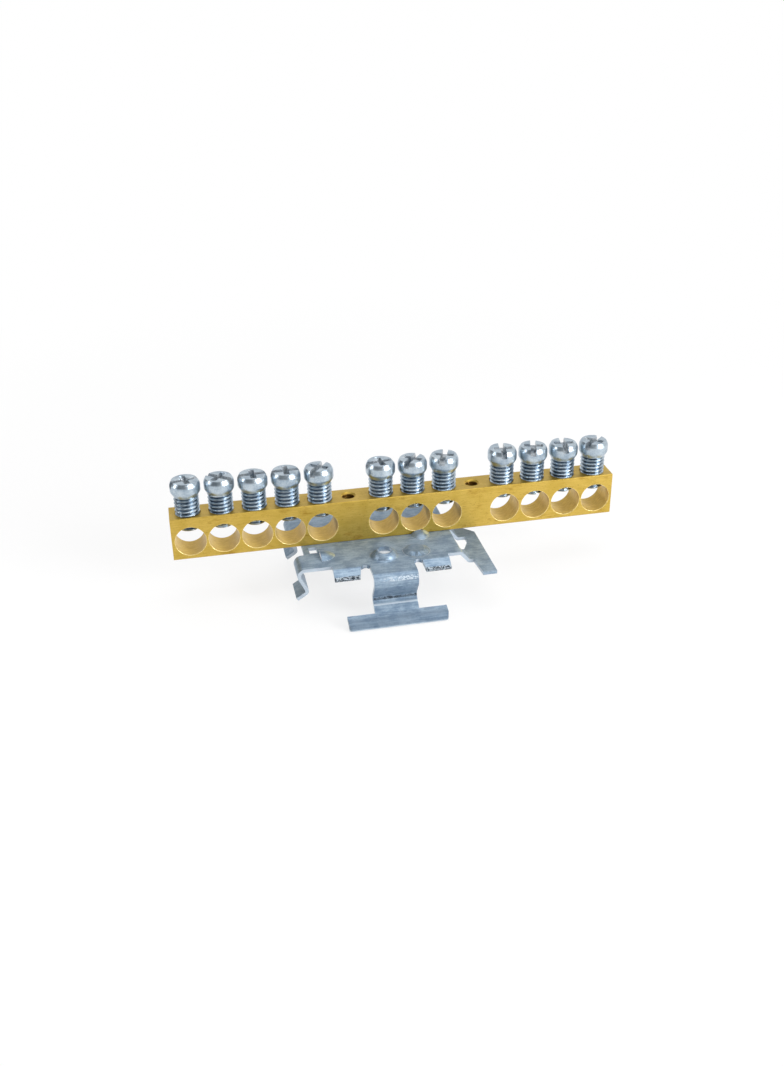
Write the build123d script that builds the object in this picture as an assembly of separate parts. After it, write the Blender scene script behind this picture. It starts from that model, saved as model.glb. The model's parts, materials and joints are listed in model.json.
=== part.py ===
from build123d import *
import os

# A brass terminal bar for twelve wires, held on a spring clip that snaps over a 35 mm rail.
# Lengths are millimetres. The origin lies on the underside of the clip's plate, over the middle of
# the rail. X runs along the bar, Y points to the rear and Z points up.

# Brass bar
BAR_LENGTH = 92.2
BAR_DEPTH = 6.0
BAR_HEIGHT = 9.0
BAR_LEFT_OVERHANG = 42.2
BAR_EDGE_BREAK = 0.15

# Wire bores, from front to back
BORE_RADIUS = 3.1
BORE_AXIS_HEIGHT = 3.9
BORE_PITCH = 6.644
FIRST_BORE = 3.73
BORE_GROUPS = (5, 3, 4)
PITCH_OVER_GAPS = (12.66, 12.43)

# Clamping screws
SCREW_THREAD_RADIUS = 2.5
SCREW_THREAD_CLEARANCE = 0.05
SCREW_HEAD_RADIUS = 3.0
SCREW_HEAD_HEIGHT = 3.2
SCREW_CROWN_RADIUS = 2.5
SCREW_SIDE_TOP = 0.55
SCREW_TIP_BELOW_CROWN = 1.33
SCREW_HEAD_TOP_ABOVE_BAR = 7.0
SLOT_WIDTH = 1.15
SLOT_DEPTH = 1.25

# How far each screw stands above or below the common height, and how its slot lies from the X axis
SCREW_LIFTS = (0.1, 0.05, -0.1, 0.0, 0.1, -0.1, -0.1, 0.0, 0.15, 0.05, 0.0, -0.05)
SLOT_TURNS = (15, 143, 4, 2, 56, 8, 52, 68, 82, 74, 82, 44)

# Small tapped holes between the groups, measured from the bar's left end
SMALL_THREAD_RADIUS = 1.25
SMALL_THREAD_SINK = 0.35
FIXING_HOLE_FROM_END = 36.13
SPARE_HOLE_FROM_END = 62.2

# Fixing screw, from below
FIXING_CORE_CLEARANCE = 0.05
FIXING_SCREW_REACH = 5.0
FIXING_HEAD_RADIUS = 2.8
FIXING_HEAD_HEIGHT = 1.9
FIXING_CROSS_WIDTH = 0.7
FIXING_CROSS_RADIUS = 1.5
FIXING_CROSS_DEPTH = 1.1
CLIP_HOLE_RADIUS = 1.7

# Clip sheet and its plate. Bends are given at the middle of the sheet.
SHEET = 0.7
PLATE_LEFT = 16.5
PLATE_RIGHT = 14.6
PLATE_FRONT = 12.65
PLATE_REAR = 11.35

# Two S-shaped legs on the left
LEG_WIDTH = 5.85
FRONT_LEG_Y = -9.72
REAR_LEG_Y = 7.48
LEG_OUTSTAND = 2.6
LEG_ROOT = 3.0
LEG_KNEE_INSET = 2.35
LEG_KNEE_DROP = 4.84
LEG_LIP_OUTSET = 2.25
LEG_LIP_DROP = 1.43
LEG_BEND = 1.25
LEG_KNEE_BEND = 0.7

# Two short tabs at the front, which end at a sheared face
TAB_INNER = 6.2
TAB_OUTER = 11.75
TAB_ROOT = 13.6
TAB_BEND_Y = 13.9
TAB_REACH = 2.05
TAB_DROP = 1.25
TAB_BEND = 0.8
TAB_END_INSET = 0.5
NOTCH_RADIUS = 0.8

# Tongue and pull bar at the front
TONGUE_WIDTH = 8.9
TONGUE_REACH = 18.45
TONGUE_WAIST_DROP = 2.08
TONGUE_KNEE_INSET = 2.57
TONGUE_KNEE_DROP = 5.87
TONGUE_END_OUTSET = 0.18
TONGUE_END_DROP = 8.17
TONGUE_BEND = 1.15
TONGUE_WAIST_BEND = 1.6
TONGUE_KNEE_BEND = 1.35
TONGUE_END_BEND = 1.0
PULL_WIDTH = 20.1
PULL_DEPTH = 2.12
PULL_SLOPE = 0.6
PULL_RIM = 1.1
PULL_RIM_LEAN = 0.3
PULL_RIM_BEND = 0.75
PULL_CORNER = 1.0

# Low leaf on the right, with its pointed hole and its foot
LEAF_STEP = 2.05
LEAF_RAMP = 1.7
LEAF_BEND = 0.75
LEAF_ROOT = 1.5
LEAF_EDGE = 20.55
LEAF_REAR = 0.9
LEAF_SHOULDER_X = 18.6
LEAF_SHOULDER_Y = -1.16
FOOT_FRONT = 18.1
FOOT_LEFT = 17.7
FOOT_ROOT = 17.3
LEAF_HOLE_REAR = 2.9
LEAF_HOLE_POINT = 11.4
LEAF_HOLE_RIGHT = 18.0
LEAF_HOLE_SIDE = 2.0
LEAF_HOLE_RAMP_SIDE = 3.5
LEAF_HOLE_POINT_INSET = 0.3
LEAF_HOLE_CORNER = 0.175

# Pierced boss, drawn up round a hole
BOSS_X = -0.75
BOSS_Y = -10.6
BOSS_BASE_RADIUS = 2.75
BOSS_SHOULDER_RADIUS = 2.2
BOSS_SHOULDER_HEIGHT = 0.8
BOSS_RIM_RADIUS = 1.65
BOSS_HEIGHT = 1.25
BOSS_HOLE_RADIUS = 1.4
BOSS_HOLLOW_RADIUS = 2.4
BOSS_BORE_LENGTH = 0.5

# Round dimple beside the boss
DIMPLE_X = 5.9
DIMPLE_Y = -10.0
DIMPLE_RADIUS = 2.8
DIMPLE_CROWN_RADIUS = 1.5
DIMPLE_HEIGHT = 0.4

# Stop lug against the bar's front
LUG_X = 8.2
LUG_RADIUS = 2.5
LUG_LENGTH = 3.7
LUG_HEIGHT = 0.95
LUG_GAP = 0.15
DOME_WALL = 0.45
DOME_NOSE = 0.3
DOME_HOLLOW_WAIST = 0.85

# Louvre on the left, and the slot beside it
LOUVRE_MOUTH_X = -13.4
LOUVRE_Y = -8.0
LOUVRE_RADIUS = 2.9
LOUVRE_LENGTH = 4.3
LOUVRE_HEIGHT = 1.0
SLOT_LEFT = -15.3
SLOT_LENGTH = 1.6
SLOT_FRONT = -6.4
SLOT_BREADTH = 2.4

# Hooks at the rear, which hold the rail's other edge
RAIL_WIDTH = 35.0
RAIL_THICKNESS = 1.0
RAIL_GAP = 0.2
HOOK_LIP = 2.3
HOOK_BEND = 0.8

# Places that follow from the sizes
PLATE_TOP = SHEET
BAR_LEFT = -BAR_LEFT_OVERHANG
BAR_TOP = PLATE_TOP + BAR_HEIGHT
BORE_Z = PLATE_TOP + BORE_AXIS_HEIGHT
FIXING_X = BAR_LEFT + FIXING_HOLE_FROM_END
SPARE_X = BAR_LEFT + SPARE_HOLE_FROM_END
SCREW_HOLE_RADIUS = SCREW_THREAD_RADIUS + SCREW_THREAD_CLEARANCE
SCREW_TIP_Z = BORE_Z + BORE_RADIUS - SCREW_TIP_BELOW_CROWN
SCREW_HEAD_TOP_Z = BAR_TOP + SCREW_HEAD_TOP_ABOVE_BAR
MID_SHEET = SHEET / 2
HOOK_REACH = RAIL_WIDTH / 2 + RAIL_GAP + MID_SHEET
HOOK_DROP = RAIL_THICKNESS + RAIL_GAP + SHEET
LUG_MOUTH_Y = -BAR_DEPTH / 2 - LUG_GAP
THROUGH_SHEET = (-SHEET, 2 * SHEET)


def bore_places():
    """X of every wire bore, group by group from the left."""
    places = [BAR_LEFT + FIRST_BORE]
    for group, count in enumerate(BORE_GROUPS):
        if group:
            places.append(places[-1] + PITCH_OVER_GAPS[group - 1])
        for _ in range(count - 1):
            places.append(places[-1] + BORE_PITCH)
    return places


def upright(radius, bottom, top, x=0.0, y=0.0):
    """A vertical cylinder between two heights."""
    return Pos(x, y, bottom) * Cylinder(radius, top - bottom, align=(Align.CENTER, Align.CENTER, Align.MIN))


def upright_cone(bottom_radius, top_radius, bottom, top, x=0.0):
    """A vertical cone between two heights."""
    cone = Cone(bottom_radius, top_radius, top - bottom, align=(Align.CENTER, Align.CENTER, Align.MIN))
    return Pos(x, 0, bottom) * cone


def block(left, right, front, rear, bottom, top):
    """A box given by its six sides."""
    size = Box(right - left, rear - front, top - bottom, align=Align.MIN)
    return Pos(left, front, bottom) * size


def terminal_bar():
    """The drilled and tapped brass bar."""
    bar = block(BAR_LEFT, BAR_LEFT + BAR_LENGTH, -BAR_DEPTH / 2, BAR_DEPTH / 2, PLATE_TOP, BAR_TOP)
    bar = chamfer(bar.edges().filter_by(Axis.X), BAR_EDGE_BREAK)
    bore = Pos(0, 0, BORE_Z) * Rot(90, 0, 0) * Cylinder(BORE_RADIUS, 2 * BAR_DEPTH)
    for x in bore_places():
        bar -= Pos(x, 0, 0) * bore
        bar -= upright(SCREW_HOLE_RADIUS, BORE_Z, BAR_TOP, x)
    for x in (FIXING_X, SPARE_X):
        sunk = SMALL_THREAD_RADIUS + SMALL_THREAD_SINK
        bar -= upright(SMALL_THREAD_RADIUS, PLATE_TOP, BAR_TOP, x)
        bar -= upright_cone(SMALL_THREAD_RADIUS, sunk, BAR_TOP - SMALL_THREAD_SINK, BAR_TOP, x)
    return bar


def terminal_screw(x, lift, slot_turn):
    """One clamping screw with a slot across its tall round head."""
    top = SCREW_HEAD_TOP_Z + lift
    tip = SCREW_TIP_Z + lift
    outline = Polyline(
        (0, top),
        (SCREW_CROWN_RADIUS, top),
        (SCREW_HEAD_RADIUS, top - SCREW_SIDE_TOP),
        (SCREW_HEAD_RADIUS, top - SCREW_HEAD_HEIGHT),
        (SCREW_THREAD_RADIUS, top - SCREW_HEAD_HEIGHT),
        (SCREW_THREAD_RADIUS, tip),
        (0, tip),
        close=True,
    )
    body = revolve(Plane.XZ * make_face(outline), Axis.Z)
    slot = Box(3 * SCREW_HEAD_RADIUS, SLOT_WIDTH, 2 * SLOT_DEPTH)
    body -= Pos(0, 0, top) * Rot(0, 0, slot_turn) * slot
    return Pos(x, 0, 0) * body


def clip_fixing_screw():
    """The small screw that holds the clip up against the bar."""
    core = SMALL_THREAD_RADIUS - FIXING_CORE_CLEARANCE
    outline = Polyline(
        (0, -FIXING_HEAD_HEIGHT),
        (FIXING_HEAD_RADIUS, -FIXING_HEAD_HEIGHT),
        (FIXING_HEAD_RADIUS, 0),
        (core, 0),
        (core, PLATE_TOP + FIXING_SCREW_REACH),
        (0, PLATE_TOP + FIXING_SCREW_REACH),
        close=True,
    )
    body = revolve(Plane.XZ * make_face(outline), Axis.Z)
    wing = Box(2 * FIXING_CROSS_RADIUS, FIXING_CROSS_WIDTH, 2 * FIXING_CROSS_DEPTH)
    body -= Pos(0, 0, -FIXING_HEAD_HEIGHT) * (wing + Rot(0, 0, 90) * wing)
    return Pos(FIXING_X, 0, 0) * body


def strip_section(points, radii):
    """The section of a bent strip: the sheet's thickness on both sides of its middle line."""
    line = FilletPolyline(*points, radius=radii)
    one_side = make_face(offset(line, amount=MID_SHEET, side=Side.LEFT))
    other_side = make_face(offset(line, amount=MID_SHEET, side=Side.RIGHT))
    return one_side + other_side


def strip_along_x(points, radii, left, right):
    """A strip bent in the Y-Z plane, between two values of X."""
    section = Plane.YZ * strip_section(points, radii)
    return Pos(left, 0, 0) * extrude(section, amount=right - left, dir=(1, 0, 0))


def strip_along_y(points, radii, front, rear):
    """A strip bent in the X-Z plane, between two values of Y."""
    section = Plane.XZ * strip_section(points, radii)
    return Pos(0, front, 0) * extrude(section, amount=rear - front, dir=(0, 1, 0))


def plate():
    """The flat middle of the clip, with its slot, its screw hole and the notches beside the tongue."""
    flat = block(-PLATE_LEFT, PLATE_RIGHT, -PLATE_FRONT, PLATE_REAR, 0, PLATE_TOP)
    flat += block(-TAB_OUTER, TAB_OUTER, -TAB_ROOT, -PLATE_FRONT + SHEET, 0, PLATE_TOP)
    tongue_side = TONGUE_WIDTH / 2
    notch_middle = (tongue_side + TAB_INNER) / 2
    for side in (-1, 1):
        web_left = side * notch_middle - NOTCH_RADIUS
        web = block(web_left, web_left + 2 * NOTCH_RADIUS, -TAB_ROOT - NOTCH_RADIUS / 2, -TAB_ROOT, 0, PLATE_TOP)
        flat += web - upright(NOTCH_RADIUS, *THROUGH_SHEET, side * notch_middle, -TAB_ROOT - NOTCH_RADIUS)
    flat -= block(SLOT_LEFT, SLOT_LEFT + SLOT_LENGTH, SLOT_FRONT, SLOT_FRONT + SLOT_BREADTH, *THROUGH_SHEET)
    flat -= upright(CLIP_HOLE_RADIUS, *THROUGH_SHEET, FIXING_X)
    return flat


def leg(y):
    """A leg that bends down, in to a knee and out to a lip."""
    top_bend = -PLATE_LEFT - LEG_OUTSTAND
    knee = top_bend + LEG_KNEE_INSET
    points = [
        (-PLATE_LEFT + LEG_ROOT, MID_SHEET),
        (top_bend, MID_SHEET),
        (knee, MID_SHEET - LEG_KNEE_DROP),
        (knee - LEG_LIP_OUTSET, MID_SHEET - LEG_KNEE_DROP - LEG_LIP_DROP),
    ]
    return strip_along_y(points, (LEG_BEND, LEG_KNEE_BEND), y - LEG_WIDTH / 2, y + LEG_WIDTH / 2)


def front_tab(side):
    """A short tab that slopes down from the plate's front edge and narrows towards its end."""
    points = [
        (-PLATE_FRONT, MID_SHEET),
        (-TAB_BEND_Y, MID_SHEET),
        (-TAB_BEND_Y - TAB_REACH, MID_SHEET - TAB_DROP),
    ]
    outer = side * TAB_OUTER
    inner = side * TAB_INNER
    strip = strip_along_x(points, TAB_BEND, min(outer, inner), max(outer, inner))
    past_end = -TAB_BEND_Y - 2 * TAB_REACH
    plan = Polyline(
        (outer, -PLATE_FRONT + SHEET),
        (outer, past_end),
        (inner + side * 2 * TAB_END_INSET, past_end),
        (inner, -TAB_BEND_Y),
        (inner, -PLATE_FRONT + SHEET),
        close=True,
    )
    return strip & extrude(make_face(plan), amount=2 * TAB_DROP + SHEET, both=True)


def tongue():
    """The front tongue, bent round the rail's edge, with the cross bar that pulls it open."""
    front = -TONGUE_REACH
    end = (front - TONGUE_END_OUTSET, MID_SHEET - TONGUE_END_DROP)
    brow = (end[0] - PULL_DEPTH, end[1] - PULL_SLOPE)
    rim = (brow[0] - PULL_RIM_LEAN, brow[1] - PULL_RIM)
    points = [
        (-PLATE_FRONT, MID_SHEET),
        (front, MID_SHEET),
        (front, MID_SHEET - TONGUE_WAIST_DROP),
        (front + TONGUE_KNEE_INSET, MID_SHEET - TONGUE_KNEE_DROP),
        end,
        brow,
        rim,
    ]
    radii = (TONGUE_BEND, TONGUE_WAIST_BEND, TONGUE_KNEE_BEND, TONGUE_END_BEND, PULL_RIM_BEND)
    neck = strip_along_x(points, radii, -TONGUE_WIDTH / 2, TONGUE_WIDTH / 2)
    pull = strip_along_x([end, brow, rim], PULL_RIM_BEND, -PULL_WIDTH / 2, PULL_WIDTH / 2)
    long_enough = 4 * PULL_DEPTH
    plan = Pos(0, rim[0] - MID_SHEET + long_enough / 2) * RectangleRounded(PULL_WIDTH, long_enough, PULL_CORNER)
    pull &= extrude(plan, amount=2 * TONGUE_END_DROP, both=True)
    return neck + pull


def leaf():
    """The leaf that steps down at the right of the plate, with a foot and a pointed hole."""
    low = MID_SHEET - LEAF_STEP
    start = PLATE_RIGHT - LEAF_ROOT
    points = [
        (start, MID_SHEET),
        (PLATE_RIGHT, MID_SHEET),
        (PLATE_RIGHT + LEAF_RAMP, low),
        (LEAF_EDGE, low),
    ]
    strip = strip_along_y(points, LEAF_BEND, -FOOT_FRONT, LEAF_REAR)
    outline = Polyline(
        (start, LEAF_REAR),
        (LEAF_SHOULDER_X, LEAF_REAR),
        (LEAF_EDGE, LEAF_SHOULDER_Y),
        (LEAF_EDGE, -FOOT_FRONT),
        (FOOT_LEFT, -FOOT_FRONT),
        (FOOT_ROOT, -PLATE_FRONT),
        (start, -PLATE_FRONT),
        close=True,
    )
    hole = Polyline(
        (PLATE_RIGHT, -LEAF_HOLE_REAR),
        (LEAF_HOLE_RIGHT, -LEAF_HOLE_REAR),
        (LEAF_HOLE_RIGHT, -LEAF_HOLE_REAR - LEAF_HOLE_SIDE),
        (PLATE_RIGHT + LEAF_HOLE_POINT_INSET, -LEAF_HOLE_POINT),
        (PLATE_RIGHT, -LEAF_HOLE_REAR - LEAF_HOLE_RAMP_SIDE),
        close=True,
    )
    hole_face = make_face(hole)
    hole_face = fillet(hole_face.vertices(), LEAF_HOLE_CORNER)
    plan = make_face(outline) - hole_face
    return strip & extrude(plan, amount=2 * LEAF_STEP, both=True)


def pierced_boss(clip):
    """The plate drawn up round a pierced hole, hollow from below."""
    shoulder = PLATE_TOP + BOSS_SHOULDER_HEIGHT
    top = PLATE_TOP + BOSS_HEIGHT
    wall = upright_cone(BOSS_BASE_RADIUS, BOSS_SHOULDER_RADIUS, PLATE_TOP, shoulder)
    wall += upright_cone(BOSS_SHOULDER_RADIUS, BOSS_RIM_RADIUS, shoulder, top)
    hollow = upright_cone(BOSS_HOLLOW_RADIUS, BOSS_HOLE_RADIUS, 0, top - BOSS_BORE_LENGTH)
    hollow += upright(BOSS_HOLE_RADIUS, 0, top)
    place = Pos(BOSS_X, BOSS_Y, 0)
    return clip + place * wall - place * hollow


def dimple(clip):
    """A low round dimple, pressed up from below."""
    cap = upright_cone(DIMPLE_RADIUS, DIMPLE_CROWN_RADIUS, PLATE_TOP, PLATE_TOP + DIMPLE_HEIGHT)
    hollow = upright(DIMPLE_RADIUS - SHEET, 0, DIMPLE_HEIGHT)
    place = Pos(DIMPLE_X, DIMPLE_Y, 0)
    return clip + place * cap - place * hollow


def half_dome(radius, length, height):
    """A dome whose mouth faces +Y at Y = 0 and whose crest stands at a height over the plate."""
    arc = TangentArc((radius, 0), (DOME_NOSE, -length), tangent=(0, -1))
    face = make_face(arc + Polyline((DOME_NOSE, -length), (0, -length), (0, 0), (radius, 0)))
    return Pos(0, 0, PLATE_TOP + height - radius) * revolve(face, Axis.Y)


def dome_hollow(radius, length, height):
    """The blunter hollow inside such a dome, down to the plate's underside."""
    inner = radius - DOME_WALL
    middle = inner * DOME_HOLLOW_WAIST
    outline = Polyline((inner, 0), (middle, -length / 2), (0, DOME_WALL - length), (0, 0), close=True)
    core = Pos(0, 0, PLATE_TOP + height - radius) * revolve(make_face(outline), Axis.Y)
    return core & block(-radius, radius, -length, 0, -SHEET, PLATE_TOP + height)


def raise_dome(clip, place, radius, length, height):
    """Presses a hollow half dome up out of the plate, its open mouth facing +Y before it is placed."""
    above = block(-radius, radius, -length, 0, MID_SHEET, PLATE_TOP + height)
    clip += place * (half_dome(radius, length, height) & above)
    return clip - place * dome_hollow(radius, length, height)


def hook(side):
    """An arm at the rear that runs over the rail's edge and turns in under it."""
    points = [
        (PLATE_REAR - SHEET, MID_SHEET),
        (HOOK_REACH, MID_SHEET),
        (HOOK_REACH, MID_SHEET - HOOK_DROP),
        (HOOK_REACH - HOOK_LIP, MID_SHEET - HOOK_DROP),
    ]
    outer = side * TAB_OUTER
    inner = side * TAB_INNER
    return strip_along_x(points, HOOK_BEND, min(outer, inner), max(outer, inner))


def rail_clip():
    """The spring clip, stamped and bent from one sheet."""
    clip = plate() + leg(FRONT_LEG_Y) + leg(REAR_LEG_Y) + tongue() + leaf()
    for side in (-1, 1):
        clip += front_tab(side) + hook(side)
    clip = dimple(pierced_boss(clip))
    lug_place = Pos(LUG_X, LUG_MOUTH_Y, 0)
    clip = raise_dome(clip, lug_place, LUG_RADIUS, LUG_LENGTH, LUG_HEIGHT)
    louvre_place = Pos(LOUVRE_MOUTH_X, LOUVRE_Y, 0) * Rot(0, 0, 90)
    clip = raise_dome(clip, louvre_place, LOUVRE_RADIUS, LOUVRE_LENGTH, LOUVRE_HEIGHT)
    return clip


nodes = {
    "terminal_bar": terminal_bar(),
    "rail_clip": rail_clip(),
    "clip_fixing_screw": clip_fixing_screw(),
}
for number, x in enumerate(bore_places()):
    name = f"terminal_screw_{number + 1:02d}"
    nodes[name] = terminal_screw(x, SCREW_LIFTS[number], SLOT_TURNS[number])

os.makedirs("parts", exist_ok=True)
for name, solid in nodes.items():
    export_step(solid, f"parts/{name}.step")
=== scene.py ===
# %% [markdown]
# # A brass terminal bar on a rail clip
#
# The imported model is a fixed frame: its nodes are in metres and stand where they belong. This script adds
# what the frame leaves out. It gives the screws their threads and their rough recesses, rounds the rims of
# the bar's holes and the sheared edges of the clip, and gives brass and zinc-plated steel their finish. The
# box round the frame is kept first.

# %% Load the frame
import json
import math

import bmesh
import bpy
from mathutils import Matrix, Vector, noise


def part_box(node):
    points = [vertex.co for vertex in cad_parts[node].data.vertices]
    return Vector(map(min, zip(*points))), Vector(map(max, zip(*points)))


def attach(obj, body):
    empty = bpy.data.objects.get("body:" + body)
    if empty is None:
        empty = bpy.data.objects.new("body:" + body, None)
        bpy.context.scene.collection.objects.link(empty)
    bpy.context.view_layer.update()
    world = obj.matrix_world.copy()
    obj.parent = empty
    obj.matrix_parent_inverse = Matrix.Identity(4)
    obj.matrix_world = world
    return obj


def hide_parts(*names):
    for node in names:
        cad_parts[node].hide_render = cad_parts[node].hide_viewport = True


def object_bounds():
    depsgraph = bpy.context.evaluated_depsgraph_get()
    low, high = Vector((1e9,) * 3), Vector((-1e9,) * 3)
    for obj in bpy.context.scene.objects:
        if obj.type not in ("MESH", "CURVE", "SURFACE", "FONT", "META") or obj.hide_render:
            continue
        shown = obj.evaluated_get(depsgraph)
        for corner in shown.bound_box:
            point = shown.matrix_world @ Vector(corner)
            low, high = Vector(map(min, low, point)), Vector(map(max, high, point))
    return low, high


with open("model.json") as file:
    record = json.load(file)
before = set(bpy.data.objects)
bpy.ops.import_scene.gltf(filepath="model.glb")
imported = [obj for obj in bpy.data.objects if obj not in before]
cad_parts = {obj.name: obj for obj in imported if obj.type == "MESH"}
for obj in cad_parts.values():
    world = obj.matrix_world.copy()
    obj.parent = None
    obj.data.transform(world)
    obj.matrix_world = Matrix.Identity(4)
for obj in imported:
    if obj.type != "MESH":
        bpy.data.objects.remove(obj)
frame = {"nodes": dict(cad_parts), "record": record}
frame_low, frame_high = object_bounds()
MM = 0.001
scene = bpy.context.scene
scene.view_settings.view_transform = "Standard"
print("nodes:", len(frame["nodes"]), "box in mm:", [round(v / MM, 1) for v in frame_high - frame_low])

# %% [markdown]
# ## The camera
#
# A photograph fixes where its camera stood. The bar's corners are straight lines of known length, so one
# camera explains where each of them falls in the picture. It stands about 20 cm in front of the bar and 11
# cm above the rail, and looks down by 28 degrees. Blender's camera looks along its own -Z axis, so its
# three axes are written into one matrix.

# %% Place the camera
CAMERA_PLACE = Vector((-38.01, -202.50, 109.49)) * MM
CAMERA_YAW = math.radians(11.44)
CAMERA_DOWN = math.radians(27.95)
CAMERA_ROLL = math.radians(-0.903)
FOCAL_PIXELS = 1114.99
LONG_SIDE_PIXELS = 1066
SENSOR_WIDTH = 36.0
NEAREST, FARTHEST = 0.01, 20.0

look = Vector((
    math.sin(CAMERA_YAW) * math.cos(CAMERA_DOWN),
    math.cos(CAMERA_YAW) * math.cos(CAMERA_DOWN),
    -math.sin(CAMERA_DOWN),
))
level = Vector((math.cos(CAMERA_YAW), -math.sin(CAMERA_YAW), 0))
over = level.cross(look)
right = math.cos(CAMERA_ROLL) * level + math.sin(CAMERA_ROLL) * over
up = -math.sin(CAMERA_ROLL) * level + math.cos(CAMERA_ROLL) * over

camera = bpy.data.objects.new("camera", bpy.data.cameras.new("camera"))
scene.collection.objects.link(camera)
camera.matrix_world = Matrix.Translation(CAMERA_PLACE) @ Matrix((right, up, -look)).transposed().to_4x4()
camera.data.sensor_width = SENSOR_WIDTH
camera.data.lens = SENSOR_WIDTH * FOCAL_PIXELS / LONG_SIDE_PIXELS
camera.data.clip_start = NEAREST
camera.data.clip_end = FARTHEST
scene.camera = camera
print("lens:", round(camera.data.lens, 2), "mm")

# %% [markdown]
# ## Arithmetic on node sockets
#
# A procedural material is a sum, a product or a threshold of noises. Written as nodes one by one it is long
# and hard to read, so a socket is wrapped in a small class, and an ordinary Python expression on it adds
# the Math nodes.

# %% Wrap a socket
class Signal:
    """An output socket that can be used in Python expressions."""

    def __init__(self, finish, socket):
        self.finish = finish
        self.socket = socket

    def math(self, operation, *others):
        return self.finish.node("ShaderNodeMath", {"operation": operation}, [self, *others])

    def __add__(self, other):
        return self.math("ADD", other)

    __radd__ = __add__

    def __sub__(self, other):
        return self.math("SUBTRACT", other)

    def __rsub__(self, other):
        return self.finish.node("ShaderNodeMath", {"operation": "SUBTRACT"}, [other, self])

    def __mul__(self, other):
        return self.math("MULTIPLY", other)

    __rmul__ = __mul__

    def __gt__(self, other):
        return self.math("GREATER_THAN", other)

    def __lt__(self, other):
        return self.math("LESS_THAN", other)

    def __or__(self, other):
        return self.math("MAXIMUM", other)

    def __abs__(self):
        return self.math("ABSOLUTE")

    def within(self, low, high):
        """1 between two values and 0 outside them."""
        return (self > low) * (self < high)

    def between(self, low, high):
        """0 below low, 1 above high, and a smooth step from one to the other."""
        settings = {"interpolation_type": "SMOOTHSTEP"}
        sockets = {"Value": self, "From Min": low, "From Max": high}
        return self.finish.node("ShaderNodeMapRange", settings, sockets)

    def near(self, middle, reach):
        """1 within half the reach of a value, and a smooth fall to 0 at the full reach."""
        return 1 - abs(self - middle).between(reach / 2, reach)


# %% Make nodes by one method
BUMP_STRENGTH = 0.6
MIX_MASK, MIX_LOW, MIX_HIGH, MIX_RESULT = 0, 6, 7, 2  # a Mix node's sockets for colours, by their place


class Finish:
    """A material whose nodes are made by one method."""

    last_node = "ShaderNodeOutputMaterial"

    def __init__(self, name):
        self.material = bpy.data.materials.new(name)
        self.material.use_nodes = True
        self.tree = self.material.node_tree
        self.tree.nodes.clear()

    def node(self, kind, settings=None, sockets=None, output=0):
        """Makes a node, sets it up, fills its sockets by place or by name, and wraps one of its outputs."""
        made = self.tree.nodes.new(kind)
        for name, value in (settings or {}).items():
            setattr(made, name, value)
        pairs = sockets.items() if isinstance(sockets, dict) else enumerate(sockets or [])
        for key, value in pairs:
            if isinstance(value, Signal):
                self.tree.links.new(value.socket, made.inputs[key])
            else:
                made.inputs[key].default_value = value
        return Signal(self, made.outputs[output]) if len(made.outputs) else None

    def place(self):
        """The point on the object, in millimetres."""
        point = self.node("ShaderNodeTexCoord", output="Object")
        return self.node("ShaderNodeVectorMath", {"operation": "SCALE"}, {"Vector": point, "Scale": 1 / MM})

    def stretch(self, vector, factors):
        """A vector with each of its axes scaled by its own factor."""
        return self.node("ShaderNodeVectorMath", {"operation": "MULTIPLY"}, [vector, factors])

    def axes(self, vector):
        """The three numbers of a vector."""
        return [self.node("ShaderNodeSeparateXYZ", sockets=[vector], output=name) for name in "XYZ"]

    def noise(self, vector, scale, detail, roughness):
        """Cloudy noise about 0.5, with scale features to the millimetre."""
        sockets = {"Vector": vector, "Scale": scale, "Detail": detail, "Roughness": roughness}
        return self.node("ShaderNodeTexNoise", sockets=sockets)

    def mix(self, mask, low, high):
        """One colour where the mask is 0 and the other where it is 1."""
        sockets = {MIX_MASK: mask, MIX_LOW: low, MIX_HIGH: high}
        return self.node("ShaderNodeMix", {"data_type": "RGBA"}, sockets, output=MIX_RESULT)

    def bump(self, height, depth):
        """A normal bent by a height from 0 to 1, depth millimetres deep."""
        sockets = {"Strength": BUMP_STRENGTH, "Distance": depth * MM, "Height": height}
        return self.node("ShaderNodeBump", sockets=sockets)

    def metal(self, colour, roughness, normal, metallic):
        """Finishes the material as a metal."""
        sockets = {"Base Color": colour, "Metallic": metallic, "Roughness": roughness, "Normal": normal}
        self.end(self.node("ShaderNodeBsdfPrincipled", sockets=sockets))
        return self.material

    def end(self, surface):
        """Joins the last shader to the output."""
        self.node(self.last_node, sockets={"Surface": surface})


def shade(red, green, blue):
    """A colour as it looks on a screen, from 0 to 255 each, turned into the linear light of Blender."""
    def linear(value):
        value /= 255
        return value / 12.92 if value <= 0.04045 else ((value + 0.055) / 1.055) ** 2.4
    return (linear(red), linear(green), linear(blue), 1.0)


print("a mid grey in linear light:", round(shade(128, 128, 128)[0], 3))

# %% [markdown]
# ## Floor, backdrop and light
#
# Bare metal has hardly any colour of its own: it shows what stands round it. So the studio is a white
# floor, a white backdrop that turns grey upwards, in front and on the left, a soft lamp to the right of the
# camera, a slim one on the left, and a large one overhead, which draws the white lines on the threads. The
# floor is white to the camera and in the metal's reflections, but it keeps the object's shadow, which fades
# out some way off.

# %% The floor
WHITE = (1.0, 1.0, 1.0, 1.0)
FLOOR_GREY = (0.9, 0.9, 0.9, 1.0)
FLOOR_SIDE = 8.0
FLOOR_DROP = 0.1 * MM
SHADOW_DEPTH = 0.22
SHADOW_FADE = (60, 220)  # millimetres from the middle of the object


def seen_directly(finish):
    """1 for rays from the camera, a mirror or glass, and 0 for the light that other rays gather."""
    rays = [finish.node("ShaderNodeLightPath", output=name)
            for name in ("Is Camera Ray", "Is Glossy Ray", "Is Transmission Ray")]
    return rays[0] | rays[1] | rays[2]


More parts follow.
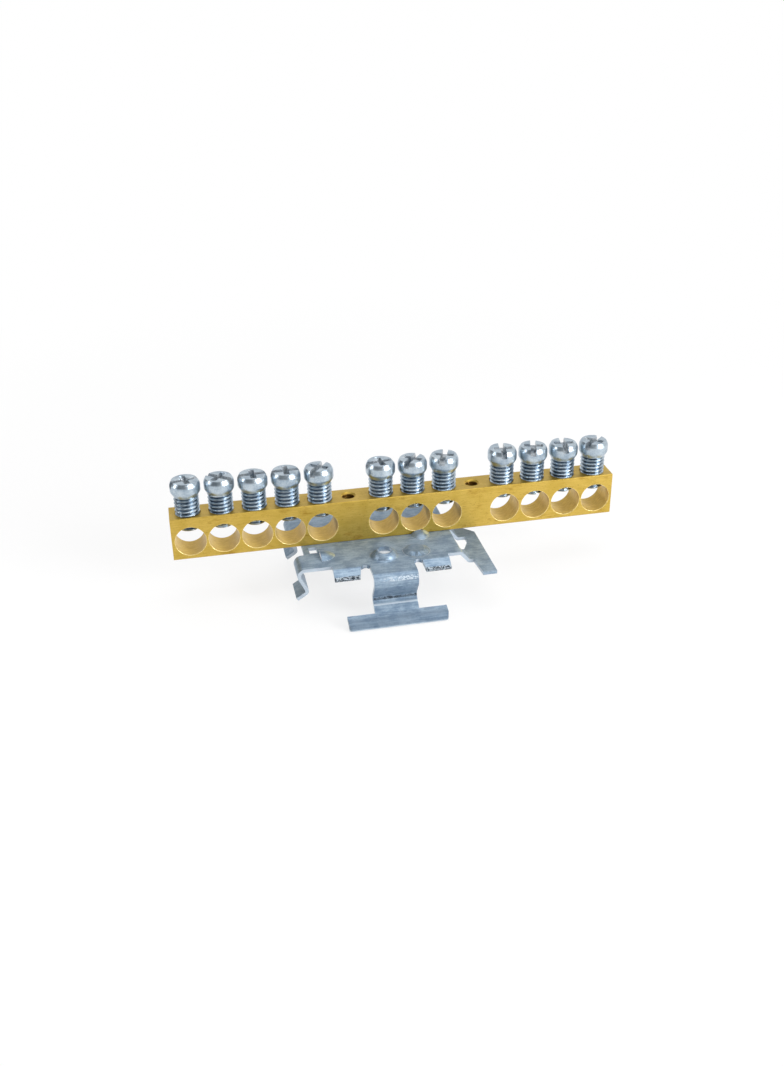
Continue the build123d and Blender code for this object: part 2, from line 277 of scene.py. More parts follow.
floor_finish = Finish("floor_white")
plain = floor_finish.node("ShaderNodeBsdfDiffuse", sockets={"Color": FLOOR_GREY})
glow = floor_finish.node("ShaderNodeEmission", sockets={"Color": WHITE, "Strength": 1.0})
spot = floor_finish.place()
from_object = floor_finish.node("ShaderNodeVectorMath", {"operation": "LENGTH"}, [spot], output="Value")
far = from_object.between(*SHADOW_FADE)
share = seen_directly(floor_finish) * (1 - SHADOW_DEPTH * (1 - far))
floor_finish.end(floor_finish.node("ShaderNodeMixShader", sockets=[share, plain, glow]))

bpy.ops.mesh.primitive_plane_add(size=FLOOR_SIDE, location=(0, 0, frame_low.z - FLOOR_DROP))
floor = bpy.context.object
floor.name = "floor"
floor.data.materials.append(floor_finish.material)
print("floor at", round(floor.location.z / MM, 2), "mm")

# %% The backdrop and the room that the metal reflects
BACK_WHITE = 1.0
OVERHEAD_GREY = 0.6
FRONT_GREY = 0.3
LEFT_GREY = 0.15
# Each grey sets in between two values of the ray's direction, which is 1 straight up, to the front or to
# the left
UPWARD = (0.25, 0.9)
FRONTWARD = (-0.3, 0.4)
LEFTWARD = (0.35, 0.85)


class Surround(Finish):
    """The world's nodes, made by the same method as a material's."""

    last_node = "ShaderNodeOutputWorld"

    def __init__(self, made):
        self.tree = made.node_tree
        self.tree.nodes.clear()


world = bpy.data.worlds.new("studio")
world.use_nodes = True
scene.world = world

room = Surround(world)
direction = room.node("ShaderNodeTexCoord", output="Generated")
east, north, height = room.axes(direction)
upward = height.between(*UPWARD)
back_light = BACK_WHITE - upward * (BACK_WHITE - OVERHEAD_GREY)
frontward = (north * -1).between(*FRONTWARD)
room_light = back_light - frontward * (back_light - FRONT_GREY)
leftward = (east * -1).between(*LEFTWARD)
room_light = room_light - leftward * (room_light - LEFT_GREY)
camera_ray = room.node("ShaderNodeLightPath", output="Is Camera Ray")
brightness = camera_ray + room_light * (1 - camera_ray)
room.end(room.node("ShaderNodeBackground", sockets={"Color": WHITE, "Strength": brightness}))
print("backdrop from", BACK_WHITE, "at the horizon to", OVERHEAD_GREY, "overhead")


# %% The lamps
def soft_lamp(name, place, width, tall, power):
    """A flat soft lamp that faces the object, with its sizes in metres and its power in watts."""
    lamp = bpy.data.lights.new(name, "AREA")
    lamp.shape = "RECTANGLE"
    lamp.size = width
    lamp.size_y = tall
    lamp.energy = power
    holder = bpy.data.objects.new(name, lamp)
    scene.collection.objects.link(holder)
    holder.location = place
    holder.rotation_euler = (-Vector(place)).to_track_quat("-Z", "Y").to_euler()


soft_lamp("lamp_right", place=(0.36, -0.38, 0.17), width=0.26, tall=0.34, power=3.6)
soft_lamp("lamp_left", place=(-0.52, -0.04, 0.18), width=0.06, tall=0.32, power=0.8)
soft_lamp("lamp_above", place=(0.06, -0.02, 0.62), width=0.55, tall=0.55, power=1.5)

# %% [markdown]
# ## Brass
#
# The bar is drawn brass that was milled and drilled but never polished. It is a deep warm yellow with faint
# lengthwise streaks, small dark flecks and a few browner stains, while the drilled walls are smoother and
# carry rings from the drill, and their rims are painted pale as a painted highlight. The streaks are noise
# stretched along the bar.
# The two small holes between the groups are tapped, and their fine thread is a bump that climbs round the
# hole by one pitch a turn. Their insides are painted darker brass: painted shade.

# %% The thread of the two small holes
SMALL_HOLES = (-6.07, 20.0)
SMALL_HOLE_REACH = 1.28
SMALL_THREAD_PITCH = 0.5


def small_thread(along, across, tall):
    """A mask over the two small holes, and the height of their thread."""
    mask, thread = 0, 0
    for place in SMALL_HOLES:
        off = along - place
        close = (off * off + across * across) < SMALL_HOLE_REACH ** 2
        turn = off.math("ARCTAN2", across) * (1 / math.tau)
        wave = ((tall * (1 / SMALL_THREAD_PITCH) + turn) * math.tau).math("SINE")
        mask = close + mask
        thread = close * (wave * 0.5 + 0.5) + thread
    return mask, thread


print("small holes:", len(SMALL_HOLES), "with a pitch of", SMALL_THREAD_PITCH, "mm")

# %% Brass finish
DEEP_BRASS, PALE_BRASS = shade(188, 156, 68), shade(213, 183, 94)
DEEP_BORE, PALE_BORE = shade(194, 156, 54), shade(220, 187, 84)
OLIVE_CLOUD = shade(178, 148, 52)
BROWN_STAIN = shade(152, 112, 34)
DARK_FLECK = shade(124, 90, 30)
# The bores' rounded rims: a painted highlight
BORE_RIM_PAINTED_HIGHLIGHT = shade(248, 228, 160)
# The insides of the small tapped holes: painted shade
TAPPED_HOLE_PAINTED_SHADE = shade(132, 100, 44)

# Where the drilled walls and their rims lie, in millimetres, and how far each looks to the front
WALL_Y, WALL_Z, WALL_FACING = 2.9, (0.86, 9.5), 0.5
RIM_Y, RIM_Z, RIM_FACING = 2.7, (1.1, 8.3), (0.15, 0.985)
END_FACING = 0.9999

BRASS_ROUGHNESS = 0.36
BRASS_METALLIC = 0.9
BRASS_RELIEF = 0.12


def bore_masks(finish, along, across, tall):
    """Masks of the drilled walls and of their rims."""
    facing = finish.node("ShaderNodeNewGeometry", output="True Normal")
    endward, frontward = [abs(part) for part in finish.axes(facing)[:2]]
    wall = (frontward < WALL_FACING) * (abs(across) < WALL_Y) * tall.within(*WALL_Z) * (endward < END_FACING)
    rim = frontward.within(*RIM_FACING) * (abs(across) > RIM_Y) * tall.within(*RIM_Z)
    return wall, rim


def brass_finish():
    finish = Finish("drawn_brass")
    point = finish.place()
    along, across, tall = finish.axes(point)
    inner, rim = bore_masks(finish, along, across, tall)
    tapped, thread = small_thread(along, across, tall)

    streaks = finish.noise(finish.stretch(point, (0.12, 3.2, 3.2)), scale=2.2, detail=5.0, roughness=0.62)
    fine_streaks = finish.noise(finish.stretch(point, (0.25, 9.0, 9.0)), scale=2.4, detail=3.0, roughness=0.6)
    rings = finish.noise(finish.stretch(point, (0.6, 6.0, 0.6)), scale=1.6, detail=4.0, roughness=0.6)
    clouds = finish.noise(point, scale=0.22, detail=3.0, roughness=0.6)
    stains = finish.noise(finish.stretch(point, (0.5, 1.0, 1.3)), scale=0.55, detail=4.0, roughness=0.62)
    flecks = finish.noise(finish.stretch(point, (1.0, 2.2, 2.2)), scale=2.6, detail=2.0, roughness=0.5)

    light = streaks * 0.55 + fine_streaks * 0.45
    colour = finish.mix(light.between(0.32, 0.68), DEEP_BRASS, PALE_BRASS)
    colour = finish.mix(clouds.between(0.42, 0.66) * 0.4, colour, OLIVE_CLOUD)
    colour = finish.mix(stains.between(0.56, 0.74) * 0.65, colour, BROWN_STAIN)
    colour = finish.mix(flecks.between(0.62, 0.72) * 0.6, colour, DARK_FLECK)
    bore_colour = finish.mix(rings.between(0.35, 0.65), DEEP_BORE, PALE_BORE)
    colour = finish.mix(inner, colour, bore_colour)
    # the bores' rounded rims are painted pale: a painted highlight
    colour = finish.mix(rim, colour, BORE_RIM_PAINTED_HIGHLIGHT)
    # the small tapped holes are painted darker: painted shade
    colour = finish.mix(tapped, colour, TAPPED_HOLE_PAINTED_SHADE)

    dulled = streaks * 0.12 + stains.between(0.55, 0.8) * 0.1
    roughness = BRASS_ROUGHNESS + dulled - inner * 0.1 - rim * 0.15
    height = light * (1 - inner) * 0.15 + rings * inner * 0.04 + thread
    normal = finish.bump(height, BRASS_RELIEF)
    return finish.metal(colour, roughness, normal, BRASS_METALLIC - inner * 0.45 - rim * 0.5)


brass = brass_finish()
print("made", brass.name)

# %% [markdown]
# ## Zinc-plated steel
#
# The screws and the clip are bright zinc on steel: a cool grey, a little cloudy, with fine specks and with
# streaks from the tools. The roots of the thread see less light, so their shade is painted in: there the zinc
# is painted darker. Inside a screw's recess the punch left torn walls, so there the same zinc is brighter on
# its crests, with dark pits, and its grain is far deeper.

# %% Zinc on the screws
PIT_DARK = shade(40, 50, 62)


def zinc_finish(name, dark, bright, base_roughness, grain, pits=0.0, metallic=1.0):
    """A plated metal: two greys mixed by cloudy noise, with a grain and, where it is torn, dark pits."""
    finish = Finish(name)
    point = finish.place()
    clouds = finish.noise(point, scale=0.5, detail=4.0, roughness=0.6)
    specks = finish.noise(point, scale=3.5, detail=3.0, roughness=0.6)
    scuffs = finish.noise(finish.stretch(point, (2.0, 2.0, 0.5)), scale=1.6, detail=4.0, roughness=0.65)
    tone = clouds * 0.6 + specks * 0.4
    colour = finish.mix(tone.between(0.34, 0.66), dark, bright)
    colour = finish.mix(scuffs.between(0.6, 0.74) * 0.3, colour, dark)
    if pits:
        colour = finish.mix(specks.between(0.5, 0.62) * pits, colour, PIT_DARK)
    roughness = base_roughness + clouds * 0.14 + scuffs.between(0.5, 0.75) * 0.1
    normal = finish.bump(specks * 0.6 + scuffs * 0.4, grain)
    return finish.metal(colour, roughness, normal, metallic)


screw_zinc = zinc_finish(
    "screw_zinc", dark=shade(154, 171, 186), bright=shade(200, 212, 220), base_roughness=0.24, grain=0.01)
# The roots of the thread are painted darker: painted shade in the grooves
root_painted_shade_zinc = zinc_finish(
    "thread_root_painted_shade", dark=shade(72, 88, 106), bright=shade(116, 132, 148), base_roughness=0.25, grain=0.01)
recess_zinc = zinc_finish(
    "recess_zinc", dark=shade(120, 138, 154), bright=shade(232, 237, 240), base_roughness=0.22, grain=0.12,
    pits=0.6, metallic=0.6)
print("made", screw_zinc.name, root_painted_shade_zinc.name, "and", recess_zinc.name)

# %% [markdown]
# ## The clip's steel
#
# The clip was stamped from plated strip. Where the tool sheared it, the edge is bare and painted brighter:
# part bare metal, part painted highlight. The rounded rims of the plate are painted pale, a painted
# highlight. Where the strip broke off instead, at the ends of the two front tabs, a rough dark and light band
# is left. The tool also marked the tongue with a light mark near its top. Lower down a rough crease is
# painted dark, partly painted shade, with a light band below it that is a painted highlight. The pull bar's
# rim is a painted highlight over a hollow painted darker as painted shade, and the flat top is a little
# duller than the rest. All of these are masks made from the point and from the direction that a face looks
# in.

# %% Where the edges and the tool's marks lie, in millimetres
SHEET_TOP_Z = 0.7
LEGS_X = -16.6  # the legs lie to the left of this
PLATE_FRONT_Y = -13.7
# The painted highlight on the rounded rims of the plate, and the fold of the leaf, which has none
HIGHLIGHT_FRONT_Y, HIGHLIGHT_LEFT_X = -13.4, -16.4
LEAF_FOLD_X, LEAF_FOLD_REACH = 15.45, 1.2
# The broken ends of the two tabs, which lean
TAB_X = (6.0, 12.0)
TAB_END_Y, TAB_LEAN = -15.75, 0.6
TAB_FRONT_Y, TAB_FOOT_Z = -17.0, -3.0
# The tongue: its mark, which fades in from the left, its crease, painted dark as painted shade, and the light
# band, a painted highlight
TONGUE_X = 4.6
MARK_Z, MARK_REACH = -0.25, 0.55
MARK_Y, MARK_X, MARK_FADE_X = -18.0, 4.4, (-4.0, -1.0)
CREASE_Z, CREASE_REACH, CREASE_Y = -5.45, 0.36, (-17.4, -15.0)
BAND_Z, BAND_REACH, BAND_Y = CREASE_Z - 1.2, 0.5, (-17.6, -14.6)
# The pull bar, with its rim (a painted highlight) and its hollow (painted shade) measured up from the lowest
# point
PULL_Y, PULL_Z = -17.2, -7.6
LIP_UP, LIP_REACH = 0.1, 0.36
HOLLOW_UP, HOLLOW_REACH = 1.15, 0.9


def edge_masks(along, across, tall, facing):
    """Masks of the sheared edges, and of the painted highlight round the rounded rims of the plate."""
    face_x, face_y, face_z = [abs(part) for part in facing]
    legs = along < LEGS_X
    side = (face_x > 0.85) * (1 - legs)
    leg_side = (face_y > 0.85) * legs
    plate_rim = (face_z < 0.3) * (1 - legs) * (across > PLATE_FRONT_Y) * (tall < SHEET_TOP_Z + 0.02)
    flat_part = (tall < SHEET_TOP_Z + 0.01) * (across > HIGHLIGHT_FRONT_Y) * (along > HIGHLIGHT_LEFT_X)
    flat_part = flat_part * (abs(along - LEAF_FOLD_X) > LEAF_FOLD_REACH)
    return side | leg_side | plate_rim, flat_part * face_z.within(0.2, 0.97)


def tool_masks(along, across, tall, face_y, torn):
    """Masks of the tabs' broken ends, and of the mark, the crease's painted shade and the light band's
    painted highlight on the tongue.
    """
    off_middle = abs(along)
    tab_end = off_middle.within(*TAB_X) * (across + tall * TAB_LEAN < TAB_END_Y)
    tab_end = tab_end * (tall > TAB_FOOT_Z) * (across > TAB_FRONT_Y)
    mark = tall.near(MARK_Z, MARK_REACH) * (across < MARK_Y) * (off_middle < MARK_X)
    mark = mark * along.between(*MARK_FADE_X)
    wavy = tall + torn * 0.5 - 0.25
    shaded_crease = wavy.near(CREASE_Z, CREASE_REACH) * across.within(*CREASE_Y) * (off_middle < TONGUE_X)
    shaded_crease = shaded_crease * (face_y < -0.1)
    highlight_band = tall.near(BAND_Z, BAND_REACH) * across.within(*BAND_Y) * (off_middle < TONGUE_X)
    return tab_end, mark, shaded_crease, highlight_band


def pull_masks(across, tall):
    """Masks of the pull bar's rim, for a painted highlight, and of the hollow above it, for painted shade."""
    lowest = frame_low.z / MM
    pull = (across < PULL_Y) * (tall < PULL_Z)
    return pull * tall.near(lowest + LIP_UP, LIP_REACH), pull * tall.near(lowest + HOLLOW_UP, HOLLOW_REACH)


print("the pull bar's rim is at", round(frame_low.z / MM, 2), "mm")

# %% Zinc on the clip
DARK_SHEET, PALE_SHEET = shade(108, 130, 152), shade(156, 175, 192)
SHEET_CLOUD = shade(86, 106, 127)
# Sheared edges: part bare metal, part painted highlight
SHEARED_BARE_AND_HIGHLIGHT = shade(212, 220, 227)
# The rounded rims of the plate: a painted highlight
PLATE_RIM_PAINTED_HIGHLIGHT = shade(238, 242, 245)
TORN_DARK, TORN_PALE = shade(40, 50, 60), shade(172, 184, 194)
MARK_PALE = shade(208, 217, 224)
# The light band below the crease: a painted highlight
BAND_PAINTED_HIGHLIGHT = shade(206, 216, 224)
# The crease: rough specks and painted shade
CREASE_PAINTED_SHADE = shade(52, 62, 72)
# The hollow above the pull bar's rim: painted shade
HOLLOW_PAINTED_SHADE = shade(74, 92, 110)
# The pull bar's rim: a painted highlight
LIP_PAINTED_HIGHLIGHT = shade(206, 215, 223)

SHEET_ROUGHNESS, TOP_ROUGHER = 0.33, 0.08
SHEET_METALLIC, TOP_DULLER = 0.64, 0.3
SHEET_RELIEF = 0.08


def clip_finish():
    finish = Finish("clip_zinc")
    point = finish.place()
    along, across, tall = finish.axes(point)
    facing = finish.axes(finish.node("ShaderNodeNewGeometry", output="True Normal"))

    clouds = finish.noise(point, scale=0.35, detail=4.0, roughness=0.62)
    specks = finish.noise(point, scale=3.0, detail=3.0, roughness=0.6)
    rolled = finish.noise(finish.stretch(point, (0.25, 2.6, 2.6)), scale=1.4, detail=4.0, roughness=0.6)
    torn = finish.noise(finish.stretch(point, (1.0, 1.4, 1.4)), scale=2.3, detail=3.0, roughness=0.7)
    speckle = torn.between(0.46, 0.54)
    sheared, plate_rim_highlight = edge_masks(along, across, tall, facing)
    tab_end, mark, shaded_crease, highlight_band = tool_masks(along, across, tall, facing[1], torn)
    lip_highlight, hollow_shade = pull_masks(across, tall)

    tone = clouds * 0.5 + rolled * 0.35 + specks * 0.15
    colour = finish.mix(tone.between(0.38, 0.62), DARK_SHEET, PALE_SHEET)
    colour = finish.mix(clouds.between(0.56, 0.72) * 0.5, colour, SHEET_CLOUD)
    # the sheared edges are painted brighter: part bare metal, part painted highlight
    colour = finish.mix(sheared * 0.5, colour, SHEARED_BARE_AND_HIGHLIGHT)
    # the rounded rims of the plate are painted pale: a painted highlight
    colour = finish.mix(plate_rim_highlight, colour, PLATE_RIM_PAINTED_HIGHLIGHT)
    colour = finish.mix(tab_end, colour, finish.mix(speckle, TORN_DARK, TORN_PALE))
    colour = finish.mix(mark * speckle * 0.6, colour, MARK_PALE)
    # the light band below the crease is a painted highlight
    colour = finish.mix(highlight_band * 0.7, colour, BAND_PAINTED_HIGHLIGHT)
    # the crease is painted dark: rough specks and painted shade
    colour = finish.mix(shaded_crease * (0.55 + 0.45 * (1 - speckle)), colour, CREASE_PAINTED_SHADE)
    # the pull bar's hollow is painted darker: painted shade
    colour = finish.mix(hollow_shade * 0.5, colour, HOLLOW_PAINTED_SHADE)
    # the pull bar's rim is painted pale: a painted highlight
    colour = finish.mix(lip_highlight * 0.5, colour, LIP_PAINTED_HIGHLIGHT)

    rough = tab_end | shaded_crease | mark
    flat_top = (facing[2] > 0.9) * (tall < SHEET_TOP_Z + 0.02)
    roughness = SHEET_ROUGHNESS + clouds * 0.14 + rolled * 0.06 + rough * 0.15 + flat_top * TOP_ROUGHER
    height = specks * 0.12 + rolled * 0.12 + speckle * rough * 0.8
    normal = finish.bump(height, SHEET_RELIEF)
    return finish.metal(colour, roughness, normal, SHEET_METALLIC - flat_top * TOP_DULLER)


clip_zinc = clip_finish()
print("made", clip_zinc.name)

# %% [markdown]
# ## The clamping screws
#
# A screw is turned round an axis, so its skin is a grid of rings. Each ring's radius follows the outline of
# the real screw: a barrel-shaped head that runs straight into the thread, and a short taper at the tip. On
# the shank it is cut back by a sharp groove that climbs one pitch a turn. A boolean then cuts the slot and
# the cross. The punch tore their walls, so the cutting tool is a little uneven too. Its noise starts from a
# fixed seed, so that every run tears them alike.

# %% Outline of the screw
THREAD_RADIUS = 2.5
THREAD_DEPTH = 0.43
THREAD_PITCH = 0.8
CREST_SHARE, FLANK_SHARE = 0.08, 0.8
HEAD_RADIUS = 3.0
HEAD_HEIGHT = 3.15
CROWN_HEIGHT, CROWN_ROUNDING, CROWN_CURVE = 0.95, 0.4, 1.6
FOOT_START, FOOT_CURVE = 2.15, 1.25
NECK_RADIUS, NECK_BLEND = 2.47, 0.35
TIP_RADIUS, TIP_TAPER = 2.1, 0.4


def smooth_step(value, low, high):
    """0 below low, 1 above high, smooth between them."""
    t = min(max((value - low) / (high - low), 0.0), 1.0)
    return t * t * (3 - 2 * t)


def groove(turns):
    """Depth of the thread's groove, from 0 at the crest to 1 at the root, for a number of turns."""
    t = abs((turns % 1.0) * 2 - 1)
    return min(max((t - CREST_SHARE) / FLANK_SHARE, 0.0), 1.0)


def head_radius(down):
    """Radius of the barrel-shaped head at a distance below its top."""
    if down < CROWN_HEIGHT:
        return HEAD_RADIUS - CROWN_ROUNDING * (1 - down / CROWN_HEIGHT) ** CROWN_CURVE
    into_foot = max(0.0, down - FOOT_START) / (HEAD_HEIGHT - FOOT_START)
    return HEAD_RADIUS - (HEAD_RADIUS - NECK_RADIUS) * into_foot ** FOOT_CURVE


def shank_radius(z, turn, neck):
    """Radius of the threaded shank at a height, for a part of a turn."""
    outline = min(THREAD_RADIUS, TIP_RADIUS + (THREAD_RADIUS - TIP_RADIUS) * z / TIP_TAPER)
    cut = THREAD_RADIUS - THREAD_DEPTH * groove(z / THREAD_PITCH - turn)
    fade = smooth_step(z, neck - NECK_BLEND, neck)
    return min(outline, cut) * (1 - fade) + NECK_RADIUS * fade


print("radius of the head at half its height:", round(head_radius(HEAD_HEIGHT / 2), 2), "mm")

# %% Skin of the screw
RINGS_PER_PITCH = 12
HEAD_RINGS = 22
ROUND_STEPS = 72


def mesh_of(shape, name):
    """The mesh of a shape, which is then let go."""
    mesh = bpy.data.meshes.new(name)
    shape.to_mesh(mesh)
    shape.free()
    return mesh


def screw_mesh(length):
    """A screw of this length in millimetres, its tip at height 0."""
    neck = length - HEAD_HEIGHT
    steps = int(neck / THREAD_PITCH * RINGS_PER_PITCH)
    heights = [neck * i / steps for i in range(steps)]
    heights += [length - HEAD_HEIGHT * (1 - i / HEAD_RINGS) for i in range(HEAD_RINGS + 1)]
    shape = bmesh.new()
    rings = []
    for z in heights:
        ring = []
        for k in range(ROUND_STEPS):
            turn = k / ROUND_STEPS
            radius = shank_radius(z, turn, neck) if z < neck else head_radius(length - z)
            angle = math.tau * turn
            ring.append(shape.verts.new((radius * math.cos(angle), radius * math.sin(angle), z)))
        rings.append(ring)
    for low, high in zip(rings, rings[1:]):
        for k in range(ROUND_STEPS):
            after = (k + 1) % ROUND_STEPS
            shape.faces.new((low[k], low[after], high[after], high[k]))
    shape.faces.new(list(reversed(rings[0])))
    shape.faces.new(rings[-1])
    return mesh_of(shape, "screw")


print("points round a screw:", ROUND_STEPS)

# %% The tool that cuts the recess
SLOT_WIDTH, SLOT_DEPTH = 1.15, 1.25
CROSS_DEPTH = 1.75
CROSS_REACH, CROSS_HALF_WIDTH = 2.15, 0.62
CROSS_FLOOR_REACH, CROSS_FLOOR_HALF_WIDTH = 1.0, 0.3
ABOVE_HEAD = 0.2
TOOL_CUTS = 7
TORN, TORN_SCALE, TORN_UPWARD = 0.09, 1.7, 0.4
TORN_SEED = 7

noise.seed_set(TORN_SEED)


def uneven(shape):
    """Moves each point of a tool a little, mostly sideways, so that it leaves torn walls."""
    for vert in shape.verts:
        push = noise.noise_vector(vert.co * TORN_SCALE) * TORN
        vert.co += Vector((push.x, push.y, push.z * TORN_UPWARD))


def recess_mesh(top):
    """A slot right across, and a cross that narrows downwards."""
    shape = bmesh.new()
    slot = bmesh.ops.create_cube(shape, size=1.0)["verts"]
    bmesh.ops.scale(shape, verts=slot, vec=(3 * HEAD_RADIUS, SLOT_WIDTH, 2 * SLOT_DEPTH))
    bmesh.ops.translate(shape, verts=slot, vec=(0, 0, top))
    for turn in (0, 90):
        wing = bmesh.ops.create_cube(shape, size=1.0)["verts"]
        for vert in wing:
            deep = vert.co.z < 0
            reach = CROSS_FLOOR_REACH if deep else CROSS_REACH
            half = CROSS_FLOOR_HALF_WIDTH if deep else CROSS_HALF_WIDTH
            height = top - CROSS_DEPTH if deep else top + ABOVE_HEAD
            vert.co = Vector((math.copysign(reach, vert.co.x), math.copysign(half, vert.co.y), height))
        bmesh.ops.rotate(shape, verts=wing, matrix=Matrix.Rotation(math.radians(turn), 3, "Z"))
    bmesh.ops.subdivide_edges(shape, edges=shape.edges[:], cuts=TOOL_CUTS, use_grid_fill=True)
    uneven(shape)
    return mesh_of(shape, "recess")


print("slot", SLOT_DEPTH, "mm deep, cross", CROSS_DEPTH, "mm deep")


# %% Cut the recess once
def applied(holder):
    """The mesh of an object with its modifiers worked in."""
    graph = bpy.context.evaluated_depsgraph_get()
    return bpy.data.meshes.new_from_object(holder.evaluated_get(graph))


def add_object(name, mesh):
    """An object that shows a mesh."""
    holder = bpy.data.objects.new(name, mesh)
    scene.collection.objects.link(holder)
    return holder


low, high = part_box("terminal_screw_04")
screw_length = (high.z - low.z) / MM
blank = add_object("screw_blank", screw_mesh(screw_length))
cutter = add_object("recess_cutter", recess_mesh(screw_length))
cut = blank.modifiers.new("recess", "BOOLEAN")
cut.operation = "DIFFERENCE"
cut.solver = "EXACT"
cut.use_self = True
cut.object = cutter
bpy.context.view_layer.update()
cut_mesh = applied(blank)
for holder in (blank, cutter):
    bpy.data.objects.remove(holder)
print("one screw:", len(cut_mesh.polygons), "faces,", round(screw_length, 2), "mm long")

# %% Give the recess its own zinc, and the roots of the thread a darker zinc that is painted shade
OUTSIDE, RECESS, ROOT = 0, 1, 2
RECESS_TOP, RECESS_FLOOR = 0.04, 2.2
SKIN = 0.08
ROOT_SHARE = 0.6

cut_mesh.materials.clear()
for zinc in (screw_zinc, recess_zinc, root_painted_shade_zinc):
    cut_mesh.materials.append(zinc)
for face in cut_mesh.polygons:
    down = screw_length - face.center.z
    out = math.hypot(face.center.x, face.center.y)
    in_recess = RECESS_TOP < down < RECESS_FLOOR and out < head_radius(down) - SKIN
    on_shank = down > HEAD_HEIGHT and face.center.z > TIP_TAPER
    in_groove = on_shank and out < THREAD_RADIUS - ROOT_SHARE * THREAD_DEPTH
    face.material_index = RECESS if in_recess else ROOT if in_groove else OUTSIDE
print("faces in the recess:", sum(1 for face in cut_mesh.polygons if face.material_index == RECESS))

# %% [markdown]
# Each screw was driven by hand, so each slot lies its own way. The turns are read from the photograph. A
# fine bevel wears the sharp edges.

# %% Copy the screw to each place
SLOT_TURNS = (15, 143, 4, 2, 56, 8, 52, 68, 82, 74, 82, 44)
WORN_WIDTH = 0.05
WORN_ABOVE = 60
SMOOTH_BELOW = 42

bodies = {node: body for body, members in frame["record"]["behaviour"]["bodies"].items() for node in members}
for number, turn in enumerate(SLOT_TURNS, start=1):
    node = f"terminal_screw_{number:02d}"
    low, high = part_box(node)
    mesh = cut_mesh.copy()
    place = Vector(((low.x + high.x) / 2, (low.y + high.y) / 2, low.z))
    spin = Matrix.Rotation(math.radians(turn), 4, "Z")
    mesh.transform(Matrix.Translation(place) @ spin @ Matrix.Scale(MM, 4))
    piece = add_object(node + "_threaded", mesh)
    edge = piece.modifiers.new("worn_edges", "BEVEL")
    edge.width = WORN_WIDTH * MM
    edge.segments = 2
    edge.limit_method = "ANGLE"
    edge.angle_limit = math.radians(WORN_ABOVE)
    mesh.shade_smooth()
    mesh.set_sharp_from_angle(angle=math.radians(SMOOTH_BELOW))
    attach(piece, bodies[node])
    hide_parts(node)
print("placed", len(SLOT_TURNS), "screws")

# %% [markdown]
# ## The bar and the clip
#
# Both have the right shape in the frame, but every rim and every sheared edge there is knife sharp. A real
# one has a small round or a burr, and that is what catches the light. So each is copied, its seams are
# closed, its flat faces are made whole again, and its sharp edges are rounded, each by its own width.

# %% Copy a node and round its edges
SEAM = 0.002
FLAT_WITHIN = 0.5
SHARP_ABOVE = 40
CREASE_ABOVE = 36


def whole_shape(node):
    """A node's mesh in millimetres, with its seams closed and its flat faces whole."""
    shape = bmesh.new()
    shape.from_mesh(frame["nodes"][node].data)
    bmesh.ops.scale(shape, verts=shape.verts, vec=(1 / MM, 1 / MM, 1 / MM))
    bmesh.ops.remove_doubles(shape, verts=shape.verts, dist=SEAM)
    flat = math.radians(FLAT_WITHIN)
    bmesh.ops.dissolve_limit(shape, angle_limit=flat, verts=shape.verts, edges=shape.edges)
    shape.normal_update()
    return shape


def round_edges(shape, width_at):
    """Rounds the sharp edges, each by the width in millimetres that width_at gives for its middle."""
    widths = {}
    for edge in shape.edges:
        if len(edge.link_faces) == 2 and edge.calc_face_angle(0) > math.radians(SHARP_ABOVE):
            width = width_at((edge.verts[0].co + edge.verts[1].co) / 2)
            if width:
                widths.setdefault(width, []).append(edge)
    for width, edges in sorted(widths.items()):
        alive = [edge for edge in edges if edge.is_valid]
        bmesh.ops.bevel(
            shape, geom=alive, offset=width, segments=3, profile=0.5, affect="EDGES", clamp_overlap=True)
    return {width: len(edges) for width, edges in widths.items()}


def place_copy(shape, node, material):
    """Turns a shape in millimetres into a piece that stands for its node."""
    bmesh.ops.scale(shape, verts=shape.verts, vec=(MM, MM, MM))
    mesh = mesh_of(shape, node + "_rounded")
    if "custom_normal" in mesh.attributes:
        mesh.attributes.remove(mesh.attributes["custom_normal"])
    mesh.materials.clear()
    mesh.materials.append(material)
    mesh.shade_smooth()
    mesh.set_sharp_from_angle(angle=math.radians(CREASE_ABOVE))
    piece = add_object(node + "_rounded", mesh)
    even = piece.modifiers.new("flat_faces_stay_flat", "WEIGHTED_NORMAL")
    even.keep_sharp = True
    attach(piece, bodies[node])
    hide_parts(node)


print("edges sharper than", SHARP_ABOVE, "degrees are rounded")

# %% The bar
BORE_ROUND, BAR_ROUND = 0.16, 0.05
FRONT_Y, FRONT_RIM_Z = -2.98, (1.2, 8.2)
OUTER_Y, OUTER_Z = 2.8, (0.8, 9.6)


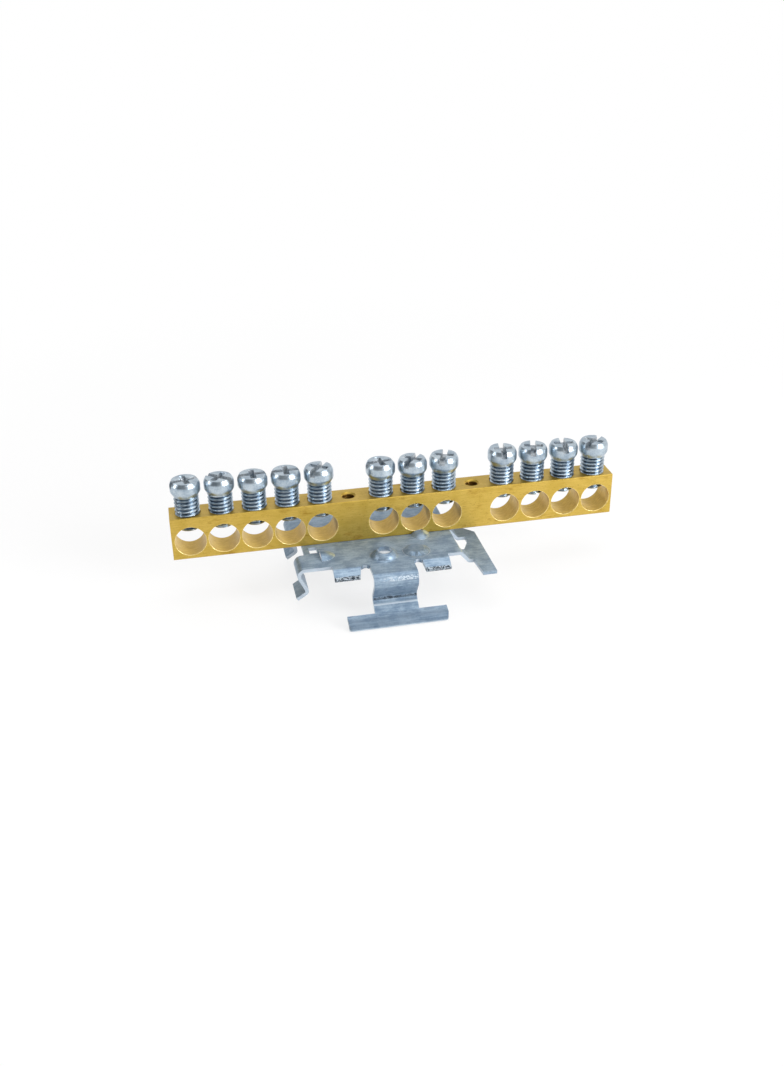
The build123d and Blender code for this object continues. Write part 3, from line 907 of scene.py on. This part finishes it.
def bar_rounding(middle):
    """Wide at the front rims of the wire bores, narrow elsewhere, and none where two bores meet inside."""
    if middle.y < FRONT_Y and FRONT_RIM_Z[0] < middle.z < FRONT_RIM_Z[1]:
        return BORE_ROUND
    if abs(middle.y) > OUTER_Y or middle.z > OUTER_Z[1] or middle.z < OUTER_Z[0]:
        return BAR_ROUND
    return 0


bar_shape = whole_shape("terminal_bar")
print("bar edges rounded:", round_edges(bar_shape, bar_rounding))
place_copy(bar_shape, "terminal_bar", brass)

# %% [markdown]
# The pierced boss and the dimple were drawn up out of the sheet, so their edges are rounder than the
# sheared ones, and the dimple is raised a little.

# %% The clip
BOSS = Vector((-0.75, -10.6))
BOSS_RING, BOSS_ROUND = (2.5, 2.9), 0.3
DIMPLE = Vector((5.9, -10.0))
DIMPLE_REACH, DIMPLE_ROUND = 3.0, 0.2
DRAWN_ABOVE_Z = 0.6
SHEARED_ROUND = 0.11
RAISED_REACH, RAISED_Z, RAISED_BY = 2.9, (0.705, 1.15), 1.7


def from_middle(point, middle):
    """How far a point lies from the upright line through a middle."""
    return (Vector((point.x, point.y)) - middle).length


def clip_rounding(middle):
    """Wide where the sheet was drawn up, narrow where it was sheared."""
    if BOSS_RING[0] < from_middle(middle, BOSS) < BOSS_RING[1] and middle.z > DRAWN_ABOVE_Z:
        return BOSS_ROUND
    if from_middle(middle, DIMPLE) < DIMPLE_REACH and middle.z > DRAWN_ABOVE_Z:
        return DIMPLE_ROUND
    return SHEARED_ROUND


clip_shape = whole_shape("rail_clip")
for vert in clip_shape.verts:
    if from_middle(vert.co, DIMPLE) < RAISED_REACH and RAISED_Z[0] < vert.co.z < RAISED_Z[1]:
        vert.co.z = SHEET_TOP_Z + (vert.co.z - SHEET_TOP_Z) * RAISED_BY
print("clip edges rounded:", round_edges(clip_shape, clip_rounding))
place_copy(clip_shape, "rail_clip", clip_zinc)

# %% The fixing screw under the clip
fixing = frame["nodes"]["clip_fixing_screw"]
fixing.data.materials.clear()
fixing.data.materials.append(screw_zinc)
print("dressed", fixing.name)
